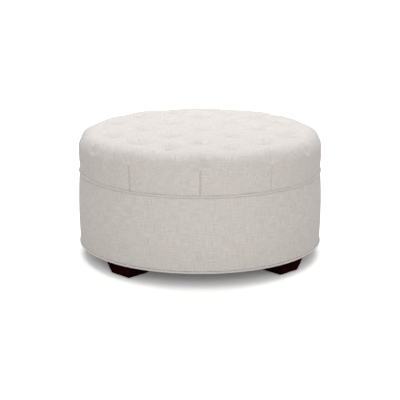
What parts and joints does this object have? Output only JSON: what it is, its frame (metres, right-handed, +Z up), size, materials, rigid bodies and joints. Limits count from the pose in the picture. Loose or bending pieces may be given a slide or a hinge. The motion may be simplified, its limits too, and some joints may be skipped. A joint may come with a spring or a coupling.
{
  "type": "ottoman",
  "caption": "Round upholstered ottoman with a diamond-tufted cushion, a fabric drum base, thin welts and dark tapered block feet.",
  "frame": {"origin": "on the floor, on the drum's axis", "axes": "+Z up along the drum's axis, -Y towards the side that the picture shows"},
  "size_m": [0.9143, 0.9144, 0.48],
  "materials": {
    "seat_fabric": "woven, matt",
    "side_fabric": "woven, matt",
    "welt_fabric": "woven, matt",
    "foam": "open-cell foam",
    "twine": "waxed",
    "fibreboard": "plain",
    "plywood": "sanded",
    "softwood": "sawn",
    "hardboard": "smooth",
    "espresso_wood": "satin lacquer",
    "black_cambric": "matt",
    "black_nylon": "matt",
    "zinc_steel": "zinc plated"
  },
  "bodies": {
    "root": {"tufted_cover": "seat_fabric", "seat_foam": "foam", "tuft_twines": "twine", "twine_discs": "fibreboard", "deck_screws": "zinc_steel", "base_screws": "zinc_steel", "rail_screws": "zinc_steel", "top_deck": "plywood", "base_ring": "plywood", "wall_liner": "hardboard", "side_panel": "side_fabric", "upper_welt": "welt_fabric", "lower_welt": "welt_fabric", "dust_cover": "black_cambric", "foot_glides": "black_nylon", "foot_bolts": "zinc_steel", "foot_nuts": "zinc_steel", "post_1": "softwood", "post_2": "softwood", "post_3": "softwood", "post_4": "softwood", "post_5": "softwood", "post_6": "softwood", "post_7": "softwood", "post_8": "softwood", "deck_rail_1": "softwood", "deck_rail_2": "softwood", "foot_block_1": "plywood", "foot_1": "espresso_wood", "foot_block_2": "plywood", "foot_2": "espresso_wood", "foot_block_3": "plywood", "foot_3": "espresso_wood", "foot_block_4": "plywood", "foot_4": "espresso_wood"}
  },
  "joints": []
}
